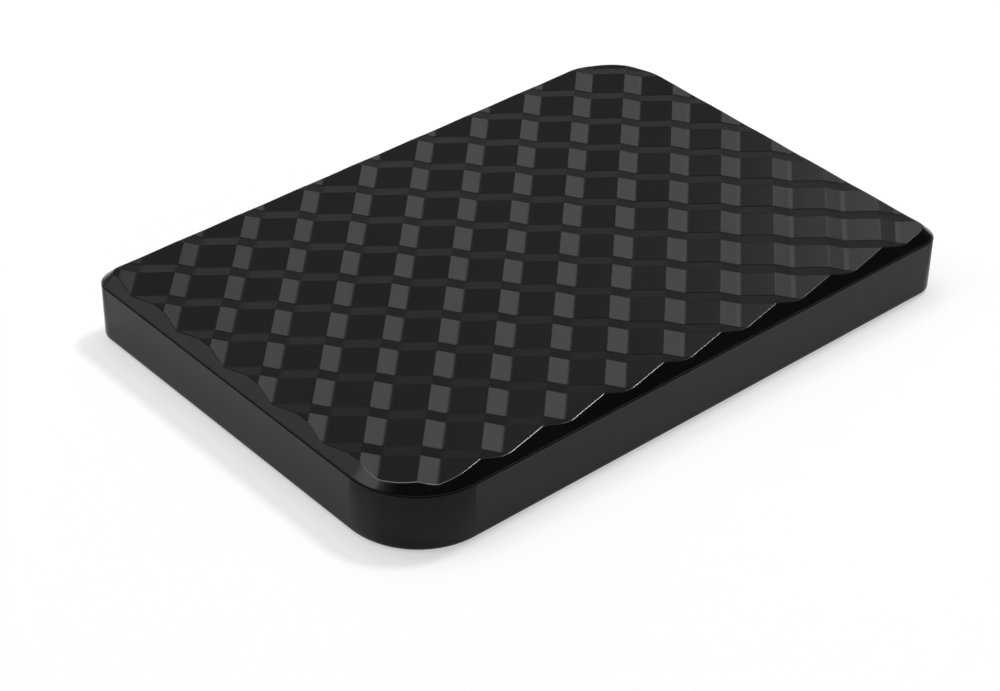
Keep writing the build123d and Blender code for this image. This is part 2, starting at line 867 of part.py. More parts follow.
def make_stator_core():
    """Laminated stator: a hub ring on the sleeve with radial teeth."""
    core = rod(hub_x, 0, stator_z0, stator_z1, stator_root_d)
    for index in range(stator_teeth):
        tip_r = stator_d / 2 - air_gap
        core += tooth_bar(stator_root_d / 4, tip_r, tooth_width, stator_z0, stator_z1, index)
    return core - rod(hub_x, 0, stator_z0 - overcut, stator_z1 + overcut, sleeve_d + 2 * hub_fit)


def make_stator_coils():
    """Copper winding around each tooth."""
    coils = []
    gap = thread_clearance
    inner_r = stator_root_d / 2 + 2 * coil_wall
    outer_r = stator_d / 2 - air_gap - coil_wall
    for index in range(stator_teeth):
        width = tooth_width + 2 * gap
        shell = tooth_bar(
            inner_r,
            outer_r,
            width + 2 * coil_wall,
            stator_z0 - gap - coil_wall,
            stator_z1 + gap + coil_wall / 2,
            index,
        )
        ends = (inner_r - overcut, outer_r + overcut)
        hole = tooth_bar(*ends, width, stator_z0 - gap, stator_z1 + gap, index)
        coils.append(shell - hole)
    return coils


def make_platter(level):
    """One glass disc."""
    z0 = drive_z + level
    return ring(hub_x, 0, z0, z0 + platter_thickness, 2 * disc_r, platter_bore_d)


def make_spacer_ring():
    """Ring that keeps the two discs apart."""
    z0 = drive_z + lower_platter_top_z
    return ring(hub_x, 0, z0, drive_z + upper_platter_z, spacer_d, platter_bore_d)


def make_disk_clamp():
    """Spring plate that holds the discs down."""
    z0 = drive_z + upper_platter_top_z
    clamp = rod(hub_x, 0, z0, z0 + clamp_thickness, clamp_d)
    clamp -= rod(hub_x, 0, z0 - overcut, z0 + drive_height, clamp_shank_d + 2 * hole_clearance)
    for index in range(6):
        x, y = polar(clamp_d / 3, 60 * index, (hub_x, 0))
        clamp -= rod(x, y, z0 - overcut, z0 + drive_height, clamp_shank_d)
    return clamp


def make_clamp_screw():
    """Screw in the middle of the clamp."""
    z0 = drive_z + upper_platter_top_z + clamp_thickness
    screw = rod(hub_x, 0, z0, z0 + clamp_head, clamp_head_d)
    tip_z = drive_z + hub_top_z - clamp_shank + thread_clearance
    screw += rod(hub_x, 0, tip_z, z0 + clamp_head / 2, clamp_shank_d)
    recess = Pos(hub_x, 0) * RegularPolygon(clamp_shank_d / 2, 6)
    return screw - raise_face(recess, z0 + clamp_head / 2, z0 + clamp_head + overcut)


pivot_foot_z = drive_z + casting_floor_z
arm_z0 = drive_z + cavity_floor_z + finger_clearance
arm_z1 = drive_z + cover_under_z - finger_clearance
finger_levels = [
    (arm_z0, drive_z + lower_platter_z - head_reach),
    (
        drive_z + lower_platter_top_z + head_reach,
        drive_z + upper_platter_z - head_reach,
    ),
    (drive_z + upper_platter_top_z + head_reach, arm_z1),
]
suspension_levels = [
    (finger_levels[0][1], 1),
    (finger_levels[1][0], -1),
    (finger_levels[1][1], 1),
    (finger_levels[2][0], -1),
]


def parked(face):
    """Turn a flat outline drawn along +X about the pivot into the parked direction."""
    return Pos(pivot_x, pivot_y) * Rot(0, 0, park_deg) * face


def make_pivot_shaft():
    """Fixed shaft of the actuator bearing, seated in the casting, with a collar under the bearing."""
    shaft = rod(pivot_x, pivot_y, pivot_foot_z, arm_z1, pivot_shaft_d)
    collar_z0 = drive_z + cavity_floor_z
    collar_d = (pivot_shaft_d + pivot_sleeve_d) / 2
    return shaft + rod(pivot_x, pivot_y, collar_z0, arm_z0 - bearing_clearance, collar_d)


def make_pivot_bearing():
    """Turning sleeve of the actuator bearing."""
    bore_d = pivot_shaft_d + 2 * bearing_clearance
    return ring(pivot_x, pivot_y, arm_z0, arm_z1, pivot_sleeve_d - 2 * hub_fit, bore_d)


coil_middle_z = (finger_levels[1][0] + finger_levels[1][1]) / 2
coil_z0 = coil_middle_z - coil_thickness / 2
coil_z1 = coil_middle_z + coil_thickness / 2
coil_deg = 180 + coil_offset_deg


def coil_plate(grow):
    """Flat outline of the coil fan about the pivot, parked, grown by a margin."""
    spread = coil_half_angle + math.degrees(grow / coil_outer_r)
    fan = sector(coil_inner_r - grow, coil_outer_r + grow, coil_deg - spread, coil_deg + spread, (0, 0))
    return parked(fan)


def make_voice_coil():
    """Flat copper winding in the fan of the arm."""
    return raise_face(coil_plate(0) - coil_plate(-coil_side), coil_z0, coil_z1)


def make_actuator_arm():
    """Comb of three fingers on a pivot boss, with a frame around the coil."""
    arm = rod(pivot_x, pivot_y, arm_z0, arm_z1, pivot_boss_d)
    root = finger_root_width / 2
    tip = finger_tip_width / 2
    outline = make_face(
        Polyline((0, -root), (finger_length, -tip), (finger_length, tip), (0, root), close=True)
    )
    outline -= Pos(finger_length * finger_hole_share, 0) * Circle(tip / 2)
    for z0, z1 in finger_levels:
        arm += raise_face(parked(outline), z0, z1)
    frame_side = math.degrees(coil_frame / coil_outer_r)
    spread = coil_half_angle + 2 * frame_side
    inner_r = pivot_boss_d / 2 - coil_frame
    web = sector(inner_r, coil_outer_r * coil_frame_share, coil_deg - spread, coil_deg + spread, (0, 0))
    arm += raise_face(parked(web), coil_z0, coil_z1)
    arm -= raise_face(coil_plate(thread_clearance), coil_z0 - overcut, coil_z1 + overcut)
    return arm - rod(pivot_x, pivot_y, arm_z0 - overcut, arm_z1 + overcut, pivot_sleeve_d)


def make_head_suspensions():
    """Four thin spring plates from the finger tips to the heads, each with a lift tab."""
    plates = []
    root = finger_tip_width / 2
    tip = slider_width / 2 + suspension_margin
    head_end = arm_radius + slider_length / 2
    start = finger_length - suspension_lap
    for z, up in suspension_levels:
        blade = make_face(
            Polyline((start, -root), (head_end, -tip), (head_end, tip), (start, root), close=True)
        )
        blade += Pos(head_end + tab_length / 2 - join / 2, 0) * Rectangle(tab_length + join, tab_width)
        z_other = z + up * suspension_thickness
        plates.append(raise_face(parked(blade), min(z, z_other), max(z, z_other)))
    return plates


def make_head_sliders():
    """Four read and write heads on the suspension tips."""
    heads = []
    for z, up in suspension_levels:
        near = z + up * suspension_thickness
        far = near + up * slider_thickness
        plate = parked(Pos(arm_radius, 0) * Rectangle(slider_length, slider_width))
        heads.append(raise_face(plate, min(near, far), max(near, far)))
    return heads


pivot = (pivot_x, pivot_y)
yoke_room = cavity_plate(-yoke_wall_clearance)
lower_yoke_z0 = drive_z + cavity_floor_z
lower_magnet_z1 = coil_z0 - magnet_coil_gap
upper_magnet_z0 = coil_z1 + magnet_coil_gap
upper_yoke_z1 = drive_z + cover_under_z - yoke_cover_gap
upper_yoke_z0 = upper_yoke_z1 - yoke_thickness
magnet_thickness = upper_yoke_z0 - upper_magnet_z0
lower_yoke_z1 = lower_magnet_z1 - magnet_thickness


def yoke_plate():
    """Plan of a yoke: a sector behind the pivot, trimmed to the bay."""
    fan = sector(yoke_inner_r, yoke_outer_r, yoke_start_deg, yoke_end_deg, pivot)
    return fan & yoke_room


def magnet_plate():
    """Plan of a magnet, inside the yoke."""
    start = yoke_start_deg + magnet_margin_deg
    end = yoke_end_deg - magnet_margin_deg
    return sector(magnet_inner_r, magnet_outer_r, start, end, pivot)


def make_lower_yoke():
    """Steel plate on the casting floor with two posts that carry the upper plate."""
    yoke = raise_face(yoke_plate(), lower_yoke_z0, lower_yoke_z1)
    middle = (yoke_start_deg + yoke_end_deg) / 2
    for turn in (-yoke_post_span_deg, yoke_post_span_deg):
        x, y = polar(post_ring_r, middle + turn, pivot)
        yoke += rod(x, y, lower_yoke_z0, upper_yoke_z0, yoke_post_d)
    return yoke


def make_lower_magnet():
    """Magnet on the lower yoke."""
    return raise_face(magnet_plate(), lower_yoke_z1, lower_magnet_z1)


def make_upper_yoke():
    """Steel plate over the coil."""
    return raise_face(yoke_plate(), upper_yoke_z0, upper_yoke_z1)


def make_upper_magnet():
    """Magnet under the upper yoke."""
    return raise_face(magnet_plate(), upper_magnet_z0, upper_yoke_z0)


def make_load_ramp():
    """Plastic comb at the disc edge that carries the parked head tabs."""
    shelf_r0 = arm_radius + slider_length / 2 + ramp_slider_gap
    shelf_r1 = arm_radius + slider_length / 2 + tab_length + ramp_past_tab
    post_r = arm_radius + slider_length / 2 + tab_length + ramp_clearance + ramp_post_r
    start = park_deg - ramp_before_deg
    shelf = sector(shelf_r0, shelf_r1, start, park_deg + ramp_after_deg, pivot)
    shelf -= Pos(hub_x, 0) * Circle(disc_r + ramp_clearance)
    shelf &= cavity_plate(-ramp_clearance)
    post = Pos(*polar(post_r, park_deg, pivot)) * Circle(ramp_post_r) & cavity_plate(-ramp_clearance)
    ramp = raise_face(post, drive_z + cavity_floor_z, arm_z1)
    rise = slider_thickness + head_gap - ramp_slide_gap
    for level in (lower_platter_z, upper_platter_z):
        z0 = drive_z + level - rise
        ramp += raise_face(shelf, z0, drive_z + level + platter_thickness + rise)
    return ramp


def make_crash_stops():
    """Two rubber posts that end the swing of the coil fan."""
    frame_side = math.degrees(coil_frame / coil_outer_r)
    spread = coil_half_angle + 2 * frame_side
    half_post = math.degrees((stop_d / 2 + stop_gap) / stop_ring_r)
    first = park_deg + coil_deg - spread - half_post
    last = inner_track_deg + coil_deg + spread + half_post
    posts = []
    for angle in (first, last):
        x, y = polar(stop_ring_r, angle, pivot)
        posts.append(rod(x, y, drive_z + cavity_floor_z, coil_z1, stop_d))
    return posts


def make_breather_filter():
    """Filter box in the corner of the bay beside the ramp."""
    x1 = bay_x1 - ramp_clearance
    y1 = bay_half_y - ramp_clearance
    z0 = drive_z + cavity_floor_z
    plate = rounded_plate(x1 - filter_length, x1, y1 - filter_width, y1, bay_corner_r - ramp_clearance)
    return raise_face(plate, z0, z0 + filter_height)


def make_recirculation_filter():
    """Filter pillow on edge in the lower corner between the disc well and the bay."""
    y0 = -bay_half_y + ramp_clearance
    x1 = pivot_x - pivot_boss_d / 2
    z0 = drive_z + cavity_floor_z
    plate = rounded_plate(x1 - pillow_length, x1, y0, y0 + pillow_width, pillow_corner_r)
    pillow = raise_face(plate, z0, z0 + filter_height)
    return pillow - rod(hub_x, 0, z0 - overcut, z0 + drive_height, 2 * well_r)


def make_controller_board():
    """Circuit board under the casting."""
    board = raise_face(rounded_plate(pcb_x0, pcb_x1, -pcb_half_y, pcb_half_y, pcb_corner_r), pcb_z0, pcb_z1)
    for x, y in board_screw_places():
        board -= rod(x, y, pcb_z0 - overcut, pcb_z1 + overcut, board_screw_d + 2 * hole_clearance)
    return board


def pcb_part(x, y, length, width):
    """Chip on the inner face of the controller board."""
    return slab(
        x - length / 2, x + length / 2, y - width / 2, y + width / 2, pcb_z1, pcb_z1 + pcb_chip_thickness
    )


chip_row_x = (pcb_x0 + bay_x1) / 2


def make_controller_chip():
    """Drive controller."""
    return pcb_part(chip_row_x, 0, controller_size, controller_size)


def make_memory_chip():
    """Cache memory beside the controller."""
    return pcb_part(chip_row_x, controller_size + memory_width / 2, memory_length, memory_width)


def make_motor_driver():
    """Motor and coil driver."""
    return pcb_part(chip_row_x, -controller_size - driver_size / 2, driver_size, driver_size)


def make_board_insulator():
    """Soft sheet between the chips and the casting."""
    z0 = pcb_z1 + pcb_chip_thickness
    x1 = drive_x1 - connector_depth - connector_clearance
    plate = rounded_plate(pcb_x0, x1, -pcb_half_y, pcb_half_y, pcb_corner_r)
    for x, y in board_screw_places():
        plate -= Pos(x, y) * Circle(boss_d / 2 + hole_clearance)
    return raise_face(plate, z0, drive_z + casting_floor_z)


def make_board_screws():
    """Four flat-headed screws under the controller board."""
    screws = []
    for x, y in board_screw_places():
        screw = rod(x, y, drive_z, pcb_z0, board_screw_head_d)
        tip_z = pcb_z1 + board_screw_length - thread_clearance
        screw += rod(x, y, drive_z + pcb_lift / 2, tip_z, board_screw_d)
        recess = Pos(x, y) * RegularPolygon(board_screw_d / 2, 6)
        screws.append(screw - raise_face(recess, drive_z - overcut, drive_z + board_screw_recess))
    return screws


nodes = {
    "bottom_tray": make_bottom_tray(),
    "top_cover": make_top_cover(),
    "drive_bumpers": make_drive_bumpers(),
    "light_pipe": make_light_pipe(),
    "bridge_board": make_bridge_board(),
    "bridge_chip": make_bridge_chip(),
    "flash_chip": make_flash_chip(),
    "crystal_can": make_crystal_can(),
    "status_led": make_status_led(),
    "usb_shell": make_usb_shell(),
    "usb_insert": make_usb_insert(),
    "sata_receptacle": make_sata_receptacle(),
    "sata_plug": make_sata_plug(),
    "base_casting": make_base_casting(),
    "cover_gasket": make_cover_gasket(),
    "drive_cover": make_drive_cover(),
    "cover_screws": make_cover_screws(),
    "spindle_sleeve": make_spindle_sleeve(),
    "spindle_hub": make_spindle_hub(),
    "rotor_magnet": make_rotor_magnet(),
    "stator_core": make_stator_core(),
    "stator_coils": make_stator_coils(),
    "lower_platter": make_platter(lower_platter_z),
    "upper_platter": make_platter(upper_platter_z),
    "spacer_ring": make_spacer_ring(),
    "disk_clamp": make_disk_clamp(),
    "clamp_screw": make_clamp_screw(),
    "pivot_shaft": make_pivot_shaft(),
    "pivot_bearing": make_pivot_bearing(),
    "actuator_arm": make_actuator_arm(),
    "voice_coil": make_voice_coil(),
    "head_suspensions": make_head_suspensions(),
    "head_sliders": make_head_sliders(),
    "lower_yoke": make_lower_yoke(),
    "lower_magnet": make_lower_magnet(),
    "upper_yoke": make_upper_yoke(),
    "upper_magnet": make_upper_magnet(),
    "load_ramp": make_load_ramp(),
    "crash_stops": make_crash_stops(),
    "breather_filter": make_breather_filter(),
    "recirculation_filter": make_recirculation_filter(),
    "controller_board": make_controller_board(),
    "controller_chip": make_controller_chip(),
    "memory_chip": make_memory_chip(),
    "motor_driver": make_motor_driver(),
    "board_insulator": make_board_insulator(),
    "board_screws": make_board_screws(),
}

os.makedirs("parts", exist_ok=True)
for name, shape in nodes.items():
    solids = Compound(children=list(shape)) if isinstance(shape, list) else shape
    export_step(solids, f"parts/{name}.step")

print(f"case {case_length:.2f} x {case_width:.2f} x {case_height:.2f}, seam at {parting_z:.2f}")
print(f"hub {hub_x:.3f}, 0  pivot {pivot_x:.3f}, {pivot_y:.3f}  swing {swing_range_deg:.2f} deg")
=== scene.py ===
# %% [markdown]
# # A portable hard drive with a faceted lid
#
# The object is a small black box that fits a pocket: a tray, a lid with a relief of slanted facets,
# and a complete 2.5 inch drive inside. Its solids are built at real size, and they give every piece
# its place. This lesson adds what the eye needs: a lid with rounded edges on its facets, surfaces
# that look like plastic, rubber, metal and laminate, and a quiet studio around them.

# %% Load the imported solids
import math

import bmesh
import bpy
from mathutils import Matrix, Quaternion, Vector


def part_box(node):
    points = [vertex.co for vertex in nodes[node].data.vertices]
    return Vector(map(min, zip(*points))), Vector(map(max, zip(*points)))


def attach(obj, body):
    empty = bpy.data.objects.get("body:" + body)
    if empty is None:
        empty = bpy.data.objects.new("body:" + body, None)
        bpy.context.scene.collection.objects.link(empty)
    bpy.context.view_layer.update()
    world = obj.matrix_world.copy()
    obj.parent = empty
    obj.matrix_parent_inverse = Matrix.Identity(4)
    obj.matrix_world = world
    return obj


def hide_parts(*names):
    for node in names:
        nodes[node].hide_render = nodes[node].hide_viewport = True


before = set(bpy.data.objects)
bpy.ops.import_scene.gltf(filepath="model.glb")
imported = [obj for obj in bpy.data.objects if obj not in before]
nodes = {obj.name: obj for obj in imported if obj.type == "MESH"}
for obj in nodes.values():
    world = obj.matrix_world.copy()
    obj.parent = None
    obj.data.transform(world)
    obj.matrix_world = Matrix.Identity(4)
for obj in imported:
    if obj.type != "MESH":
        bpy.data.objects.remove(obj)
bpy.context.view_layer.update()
MM = 0.001

# %% [markdown]
# ## Where the case is
#
# Tray and lid close over each other, and all that follows is measured from these two solids. The tray
# gives the length, the width and the height of the seam, and the lid gives the top of the relief. The
# numbers could be typed in again, but reading them from the frame keeps the looks on the solids when
# a size of the part changes.

# %% Read the case from the frame
tray_low, tray_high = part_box("bottom_tray")
lid_low, lid_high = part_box("top_cover")
half_length = (tray_high[0] - tray_low[0]) / 2
half_width = (tray_high[1] - tray_low[1]) / 2
wall_top = tray_high[2]
lid_top = lid_high[2]
print(f"case {half_length * 2 / MM:.1f} x {half_width * 2 / MM:.1f} x {lid_top / MM:.2f} mm")

# %% [markdown]
# ## The outline of the case
#
# Seen from above, two opposite corners of the case are round and the other two are tight. A list of
# points around the edge would draw it, but would not say how far inside a place lies. A signed
# distance does: one short function gives the depth inside the outline and the way out, and the band,
# its rounded edge and its foot all use it.

# %% Outline of the case
big_corner = 13.6 * MM
small_corner = 3.8 * MM


def corner_radius(x, y):
    """Radius of the corner in the quarter of the case that holds a point."""
    return big_corner if x * y > 0 else small_corner


def depth_inside(x, y):
    """How far a point lies inside the outline, and the outward direction there."""
    radius = corner_radius(x, y)
    past_x = abs(x) - (half_length - radius)
    past_y = abs(y) - (half_width - radius)
    if past_x > 0 and past_y > 0:
        reach = math.hypot(past_x, past_y)
        out = Vector((math.copysign(past_x / reach, x), math.copysign(past_y / reach, y)))
        return radius - reach, out
    if past_x > past_y:
        return radius - past_x, Vector((math.copysign(1, x), 0))
    return radius - past_y, Vector((0, math.copysign(1, y)))


print("the middle lies", round(depth_inside(0, 0)[0] / MM, 1), "mm inside the outline")

# %% [markdown]
# ## The relief
#
# The lid looks woven from large dark and small bright tiles. The rule behind it is short: one
# sawtooth runs along each diagonal of the lid, each with a gentle and a steep slope, and the two
# heights are added. Ridges are crisp and valleys softer, because a mould cutter leaves its own radius
# in a valley, so a short parabola replaces each corner. A displaced plane would need about a million
# points to keep such edges. Here the grid has lines only where the slope changes.

# %% One rounded sawtooth
pitch = 9.0 * MM
tooth = 0.495 * MM
ridge_round = 0.1 * MM


def tooth_height(place, valley, rise, valley_round):
    """Height of a sawtooth that climbs over one length from a valley and falls over the rest of the pitch."""
    along = (place - valley) % pitch
    up = tooth / rise
    down = tooth / (pitch - rise)
    height = min(along * up, (pitch - along) * down)
    for corner, blend, turn in ((0, valley_round, 1), (rise, ridge_round, -1), (pitch, valley_round, 1)):
        off = abs(along - corner)
        if off < blend:
            height += turn * (up + down) * (blend - off) ** 2 / (4 * blend)
    return height


def tooth_knots(valley, rise, valley_round, reach):
    """Places of the grid lines: a few across each rounded valley and ridge."""
    places = []
    turn = math.floor((-reach - valley) / pitch)
    while valley + turn * pitch < reach:
        start = valley + turn * pitch
        for share in (-1, -0.5, 0, 0.5, 1):
            places.append(start + share * valley_round)
        for share in (-1, 0, 1):
            places.append(start + rise + share * ridge_round)
        turn += 1
    return places


print("a ridge stands", round(tooth_height(3 * MM, 0, 3 * MM, 0.3 * MM) / MM, 3), "mm above its valley")

# %% [markdown]
# ## Two waves make the facets
#
# On the real lid the facets shine in turn as it is tilted, because the gentle slope comes first along
# one diagonal and the steep one along the other. Each facet could be placed by itself, but there are
# some hundreds. Each wave is a valley, a rise and a radius instead, and the middle of one bright
# facet is the anchor that the whole pattern hangs on.

# %% Two sawtooth waves
root2 = math.sqrt(2)
gentle = 0.67 * pitch
steep = pitch - gentle
anchor_x, anchor_y = -5.788 * MM, -3.605 * MM
wave_u = ((anchor_x + anchor_y) / root2 - gentle / 2, gentle, 0.3 * MM)
wave_v = ((anchor_y - anchor_x) / root2 - steep / 2, steep, 0.5 * MM)
valley_z = lid_top - 2 * tooth


def relief_z(x, y):
    """Height of the faceted top at a place of the lid."""
    u = (x + y) / root2
    v = (y - x) / root2
    return valley_z + tooth_height(u, *wave_u) + tooth_height(v, *wave_v)


print("facets lie between", round(valley_z / MM, 2), "and", round(lid_top / MM, 2), "mm")

# %% [markdown]
# ## The edge band
#
# A smooth sloping band runs around the lid and cuts through the facets, so its upper edge is a
# zigzag. A boolean with a block could make that cut, but it leaves long thin triangles. The case is
# convex and the band leans inwards, so a series of flat planes does it: one for each side and a fan
# of them around each corner. Blender's bisect then keeps what lies inside each plane. The cut is made
# a little inside the true edge, which leaves room for the rounding that catches the light.

# %% Planes of the band
band_foot_z = wall_top + 0.12 * MM
band_foot_inset = 0.03 * MM
band_head_inset = 2.34 * MM
band_lean = (band_head_inset - band_foot_inset) / (lid_top - band_foot_z)
edge_round = 0.16 * MM
fan_step = 5


def band_planes():
    """Direction and distance from the middle of each plane of the band."""
    planes = []
    for start, sx, sy in ((0, 1, 1), (90, -1, 1), (180, -1, -1), (270, 1, -1)):
        radius = corner_radius(sx, sy)
        centre = Vector((sx * (half_length - radius), sy * (half_width - radius)))
        for turn in range(start, start + 90, fan_step):
            angle = math.radians(turn)
            out = Vector((math.cos(angle), math.sin(angle)))
            planes.append((out, centre.dot(out) + radius))
    return planes


print(len(band_planes()), "planes around the band")

# %% [markdown]
# ## The faceted top
#
# The lid is one moulding. Its solid has the right form with sharp edges, and a bevel on hundreds of
# shallow edges would go wrong where four facets meet. So the lid is built again here, in place of its
# solid, from the formula of the relief: a grid that follows the two waves, cut by the planes of the
# band.

# %% Faceted top
cut_slack = 0.0001 * MM
weld_gap = 0.004 * MM


def faceted_top(bm):
    """Grid of the relief, cut along the band."""
    reach = (half_length + half_width) / root2 + pitch
    lines_u = tooth_knots(*wave_u, reach)
    lines_v = tooth_knots(*wave_v, reach)
    points = {}

    def point(i, j):
        if (i, j) not in points:
            u, v = lines_u[i], lines_v[j]
            x, y = (u - v) / root2, (u + v) / root2
            points[i, j] = bm.verts.new((x, y, relief_z(x, y)))
        return points[i, j]

    for i in range(len(lines_u) - 1):
        for j in range(len(lines_v) - 1):
            u = (lines_u[i] + lines_u[i + 1]) / 2
            v = (lines_v[j] + lines_v[j + 1]) / 2
            if depth_inside((u - v) / root2, (u + v) / root2)[0] > -pitch:
                bm.faces.new((point(i, j), point(i + 1, j), point(i + 1, j + 1), point(i, j + 1)))
    for out, distance in band_planes():
        foot = distance - band_foot_inset - edge_round
        bmesh.ops.bisect_plane(
            bm,
            geom=bm.verts[:] + bm.edges[:] + bm.faces[:],
            plane_co=(out.x * foot, out.y * foot, band_foot_z),
            plane_no=(out.x, out.y, band_lean),
            dist=cut_slack,
            clear_outer=True,
        )
    bmesh.ops.remove_doubles(bm, verts=bm.verts, dist=weld_gap)


bm = bmesh.new()
faceted_top(bm)
print("top:", len(bm.faces), "faces")

# %% [markdown]
# ## The profile of the rim
#
# From the cut edge the real lid goes on around a fine rounding, down the band, around its foot and
# back under to the ceiling. A sweep along the edge would twist where the edge zigzags. Here each
# point of the edge grows its own profile, a list of steps outwards and down, and the true edge is
# found by halving the distance to where the relief meets the band. A bend is a quadratic curve around
# a corner, which needs only three points.

# %% Profile of the rim
foot_round = 0.36 * MM
rim_inset = 2.6 * MM
roof = 0.75 * MM
ceiling_z = valley_z - roof
halvings = 30
edge_steps, foot_steps = 5, 4


def bend(start, corner, end, steps):
    """Points of a smooth bend from start to end around a corner."""
    shares = [n / steps for n in range(steps + 1)]
    return [start * (1 - t) ** 2 + corner * 2 * t * (1 - t) + end * t**2 for t in shares]


def band_z(inset):
    """Height of the band at a distance inside the outline."""
    return band_foot_z + (inset - band_foot_inset) / band_lean


def rim_profile(point):
    """Points from the cut edge outwards, down the band, around its foot and back under the lid."""
    inset, out = depth_inside(point.x, point.y)
    near, far = 0.0, 4 * edge_round
    for _ in range(halvings):
        step = (near + far) / 2
        if relief_z(point.x + out.x * step, point.y + out.y * step) < band_z(inset - step):
            near = step
        else:
            far = step
    edge = Vector((inset - near, band_z(inset - near)))
    down = Vector((-band_lean, -1)).normalized()
    foot = Vector((band_foot_inset, band_foot_z))
    under = Vector((1, 0))
    places = bend(Vector((inset, point.z)), edge, edge + down * edge_round, edge_steps)[1:]
    places += bend(foot - down * foot_round, foot, foot + under * edge_round, foot_steps)
    places.append(Vector((rim_inset, band_foot_z)))
    places.append(Vector((rim_inset, ceiling_z)))
    return [(point.x + out.x * (inset - p.x), point.y + out.y * (inset - p.x), p.y) for p in places]


print("a profile has", len(rim_profile(Vector((0, half_width - band_head_inset, lid_top)))), "points")

# %% [markdown]
# ## The rim
#
# All profiles together are the rim. The edge is walked once around, each point gets its column, and
# neighbouring columns are joined by faces. One face closes the ceiling, so that the lid is a closed
# body with a real thickness, as a moulding has.

# %% Rim
def rim(bm):
    """Rounded edge, band and underside, grown from the cut edge of the top."""
    open_edges = [e for e in bm.edges if e.is_boundary]
    first = open_edges[0].verts[0]
    loop, edge = [first], open_edges[0]
    while True:
        ahead = edge.other_vert(loop[-1])
        if ahead is first:
            break
        loop.append(ahead)
        edge = next(e for e in ahead.link_edges if e.is_boundary and e is not edge)
    columns = [[bm.verts.new(p) for p in rim_profile(v.co)] for v in loop]
    rings = [loop] + [list(ring) for ring in zip(*columns)]
    count = len(loop)
    for upper, lower in zip(rings, rings[1:]):
        for n in range(count):
            after = (n + 1) % count
            bm.faces.new((upper[n], upper[after], lower[after], lower[n]))
    bm.faces.new(rings[-1])
    return count


print("rim:", rim(bm), "points along the edge")

# %% [markdown]
# ## The skirt
#
# Under the lid a skirt stands inside the tray walls, on both sides of the tight corners. None of it
# shows while the case is closed, but the lid that comes off has it, so the piece has it too. A
# boolean union would be exact and slow. A closed block that sinks a little into the lid looks the
# same and prints the same.

# %% Skirt
skirt_inset = 1.6 * MM
skirt_low = wall_top - 3.0 * MM
sink = 0.1 * MM
skirt_step = 15


def skirt_edge(side, inset):
    """Line of the skirt around one tight corner, at a distance inside the outline."""
    radius = small_corner - inset
    middle_x, middle_y = small_corner - half_length, half_width - small_corner
    line = [(inset - half_length, big_corner - half_width)]
    for turn in range(0, 91, skirt_step):
        angle = math.radians(turn)
        line.append((middle_x - radius * math.cos(angle), middle_y + radius * math.sin(angle)))
    line.append((half_length - big_corner, half_width - inset))
    return [(side * x, side * y) for x, y in line]


def wall_block(bm, line_a, line_b, low, high):
    """Closed wall between two lines of the same number of points."""
    rows = []
    for line, z in ((line_a, low), (line_a, high), (line_b, high), (line_b, low)):
        rows.append([bm.verts.new((x, y, z)) for x, y in line])
    for n in range(len(line_a) - 1):
        for row, after in zip(rows, rows[1:] + rows[:1]):
            bm.faces.new((row[n], row[n + 1], after[n + 1], after[n]))
    for end in (0, -1):
        bm.faces.new([row[end] for row in rows])


for side in (1, -1):
    wall_block(bm, skirt_edge(side, skirt_inset), skirt_edge(side, rim_inset), skirt_low, ceiling_z + sink)
print("skirt", round((ceiling_z - skirt_low) / MM, 2), "mm deep")

# %% [markdown]
# ## Snap ridges and posts
#
# Five round ridges on the skirt snap into the tray, and four posts hold the rubber bumpers of the
# drive down. All nine are plain round bars, so one helper makes them, turned to lie along the wall or
# to stand.

# %% Snap ridges and hold-down posts
ridge_length, ridge_radius = 14 * MM, 0.4 * MM
ridge_z = wall_top - 1.5 * MM
post_radius = 1.2 * MM
bar_sides = 20
post_low, post_high = skirt_low - 0.07 * MM, ceiling_z + sink
beside_drive = 1.6 * MM
cover_low, cover_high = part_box("drive_cover")
bumper_places = [cover_high[0] - back for back in (14.0 * MM, 90.6 * MM)]


def bar(bm, middle, axis, length, radius):
    """Closed round bar."""
    place = Matrix.Translation(middle) @ Vector(axis).to_track_quat("Z", "Y").to_matrix().to_4x4()
    bmesh.ops.create_cone(
        bm,
        segments=bar_sides,
        radius1=radius,
        radius2=radius,
        depth=length,
        cap_ends=True,
        matrix=place,
    )


for x in (-half_length / 2, half_length / 2):
    for y in (skirt_inset - half_width, half_width - skirt_inset):
        bar(bm, (x, y, ridge_z), (1, 0, 0), ridge_length, ridge_radius)
bar(bm, (skirt_inset - half_length, 0, ridge_z), (0, 1, 0), ridge_length, ridge_radius)
for x in bumper_places:
    for y in (cover_low[1] - beside_drive, cover_high[1] + beside_drive):
        bar(bm, (x, y, (post_low + post_high) / 2), (0, 0, 1), post_high - post_low, post_radius)
print("posts", round((post_high - post_low) / MM, 2), "mm long")

# %% [markdown]
# ## The lid as one piece
#
# Large facets of a real moulding are flat, and only the narrow strips between them bend the light.
# Flat shading would show each strip as a hard line, and plain smooth shading would bend the facets
# too. So all faces are smooth and the weighted normal modifier lets the large faces decide.

# %% Lid as one piece
def finish_mesh(name, bm):
    """Object from a bmesh, smooth, with the flat faces deciding the shading."""
    bmesh.ops.recalc_face_normals(bm, faces=bm.faces)
    mesh = bpy.data.meshes.new(name)
    bm.to_mesh(mesh)
    bm.free()
    mesh.shade_smooth()
    piece = bpy.data.objects.new(name, mesh)
    bpy.context.scene.collection.objects.link(piece)
    weigh = piece.modifiers.new("flat_faces_lead", "WEIGHTED_NORMAL")
    weigh.weight = 100
    return piece


lid = finish_mesh("faceted_lid", bm)
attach(lid, "case")
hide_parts("top_cover")
print("lid:", len(lid.data.polygons), "faces")

